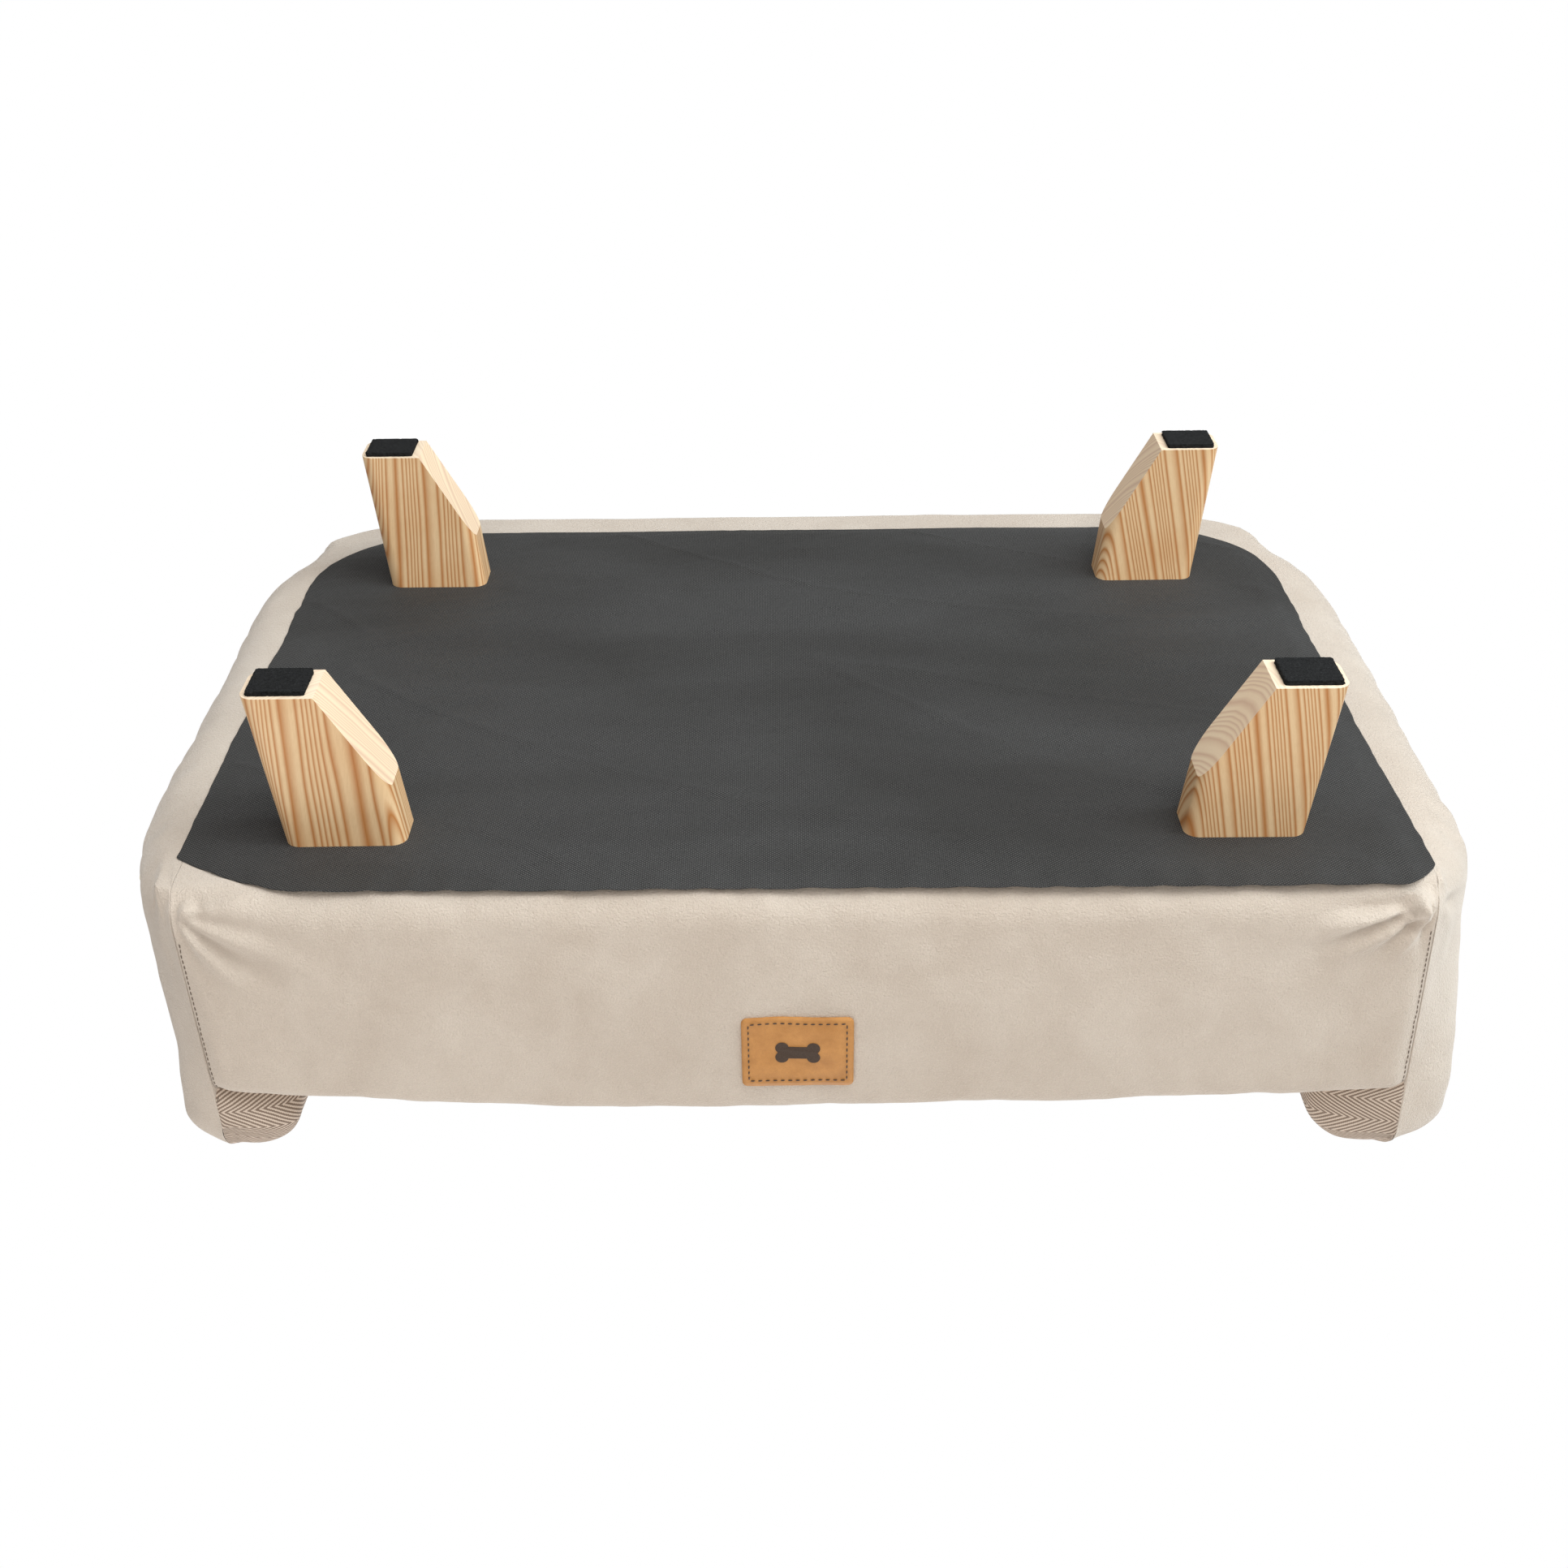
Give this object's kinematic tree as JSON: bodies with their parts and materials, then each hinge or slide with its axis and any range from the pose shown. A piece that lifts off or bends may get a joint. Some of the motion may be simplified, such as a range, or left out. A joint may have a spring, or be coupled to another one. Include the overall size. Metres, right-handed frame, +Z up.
{
  "type": "dog bed with frame",
  "caption": "Sofa-shaped pet bed: padded walls on three sides of a lift-out cushion, low front apron, wooden base on four splayed block legs.",
  "frame": {"origin": "centre of the object's plan at floor level, under the felt pads", "axes": "+Z up, -Y towards the open front, +X towards the left arm as seen by a pet that lies in the bed and looks out"},
  "size_m": [0.7898, 0.5718, 0.353],
  "materials": {
    "plywood": "sanded plywood",
    "frame_pine": "planed pine",
    "hardboard": "smooth hardboard",
    "zinc_steel": "zinc plated",
    "leg_pine": "clear matt lacquer",
    "felt": "pressed felt",
    "black_nonwoven": "spunbond cloth",
    "foam": "open cell foam",
    "velvet": "brushed velvet",
    "herringbone": "herringbone weave",
    "label_tan": "matt",
    "label_thread": "thread",
    "fibre_fill": "loose fibre",
    "zip_tape": "woven tape",
    "zip_coil": "moulded coil",
    "zip_metal": "antique plated"
  },
  "bodies": {
    "sofa": {"base_board": "plywood", "front_rail": "frame_pine", "front_post_left": "frame_pine", "front_post_right": "frame_pine", "wall_panel": "hardboard", "sill_left": "frame_pine", "sill_right": "frame_pine", "sill_back": "frame_pine", "rail_screws": "zinc_steel", "panel_staples": "zinc_steel", "tee_nuts": "zinc_steel", "hanger_bolts": "zinc_steel", "leg_front_left": "leg_pine", "leg_front_right": "leg_pine", "leg_rear_left": "leg_pine", "leg_rear_right": "leg_pine", "felt_front_left": "felt", "felt_front_right": "felt", "felt_rear_left": "felt", "felt_rear_right": "felt", "dust_cover": "black_nonwoven", "front_foam": "foam", "wall_foam": "foam", "seat_foam": "foam", "deck_cloth": "black_nonwoven", "outer_cover": "velvet", "inner_lining": "herringbone", "apron_cover": "velvet", "label": "label_tan", "label_stitches": "label_thread"},
    "cushion": {"cushion_fill": "fibre_fill", "cushion_top": "herringbone", "cushion_band": "velvet", "cushion_bottom": "black_nonwoven", "zip_tape": "zip_tape", "zip_coil": "zip_coil", "zip_stops": "zip_metal"},
    "zip_slider": {"zip_slider": "zip_metal"},
    "zip_pull": {"zip_pull": "zip_metal"}
  },
  "joints": [
    {"name": "cushion_lift", "type": "slide", "parent": "sofa", "child": "cushion", "axis": [0, 0, 1], "range_m": [0, 0.3]},
    {"name": "zip_slide", "type": "slide", "parent": "cushion", "child": "zip_slider", "axis": [1, 0, 0], "range_m": [0, 0.388]},
    {"name": "zip_pull_swing", "type": "hinge", "parent": "zip_slider", "child": "zip_pull", "pos_m": [-0.194, 0.1803, 0.2053], "axis": [0, 1, 0], "range_deg": [-120, 120]}
  ]
}
